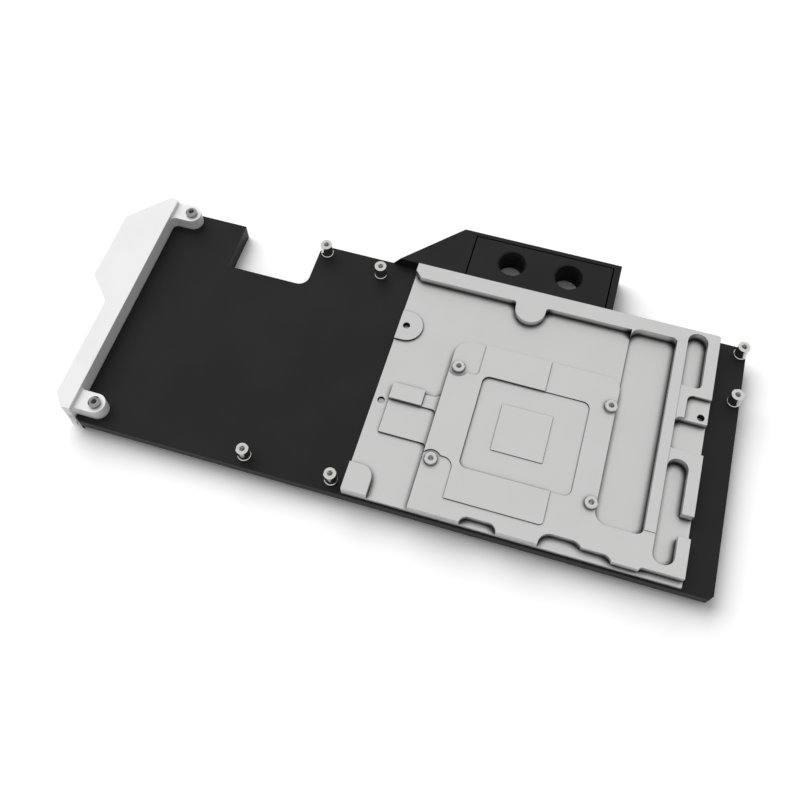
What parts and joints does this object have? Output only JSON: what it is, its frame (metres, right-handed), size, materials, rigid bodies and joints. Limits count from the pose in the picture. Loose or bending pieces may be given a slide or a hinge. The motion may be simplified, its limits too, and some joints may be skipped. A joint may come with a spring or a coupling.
{
  "type": "liquid cooling cold plate",
  "caption": "Full-cover liquid cold plate: a nickel-plated contact plate on a black coolant housing with a port terminal, board standoffs and a white end cover.",
  "frame": {"origin": "middle of the bounding box, on the plane of the front face that it lies on", "axes": "+X along the card from the white end cover to the far end, +Y towards the port terminal, +Z from the front face towards the contact side"},
  "size_m": [0.2736, 0.1322, 0.016],
  "materials": {
    "nickel": "fine blasted nickel plating on milled copper",
    "black_housing": "matte black acetal, machined",
    "black_terminal": "matte black acetal, machined",
    "white_cover": "smooth white moulded plastic",
    "standoff_nickel": "bright nickel plating on turned brass",
    "steel": "plain stainless steel",
    "seal_rubber": "black nitrile rubber"
  },
  "bodies": {
    "root": {"cold_plate": "nickel", "top_housing": "black_housing", "terminal_block": "black_terminal", "terminal_shroud": "black_terminal", "end_cover": "white_cover", "main_gasket": "seal_rubber", "jet_plate": "steel", "jet_insert": "black_housing", "terminal_ring_1": "seal_rubber", "terminal_ring_2": "seal_rubber", "standoff_notch": "standoff_nickel", "standoff_terminal": "standoff_nickel", "standoff_low_middle": "standoff_nickel", "standoff_low_plate": "standoff_nickel", "standoff_corner": "standoff_nickel", "standoff_right": "standoff_nickel", "standoff_ear_upper": "standoff_nickel", "standoff_ear_lower": "standoff_nickel", "standoff_chip_upper_left": "standoff_nickel", "standoff_chip_upper_right": "standoff_nickel", "standoff_chip_lower_left": "standoff_nickel", "standoff_chip_lower_right": "standoff_nickel", "housing_screw_01": "steel", "housing_screw_02": "steel", "housing_screw_03": "steel", "housing_screw_04": "steel", "housing_screw_05": "steel", "housing_screw_06": "steel", "housing_screw_07": "steel", "housing_screw_08": "steel", "housing_screw_09": "steel", "housing_screw_10": "steel", "housing_screw_11": "steel", "housing_screw_12": "steel", "terminal_screw_1": "steel", "shroud_screw_1": "steel", "terminal_screw_2": "steel", "shroud_screw_2": "steel"}
  },
  "joints": []
}
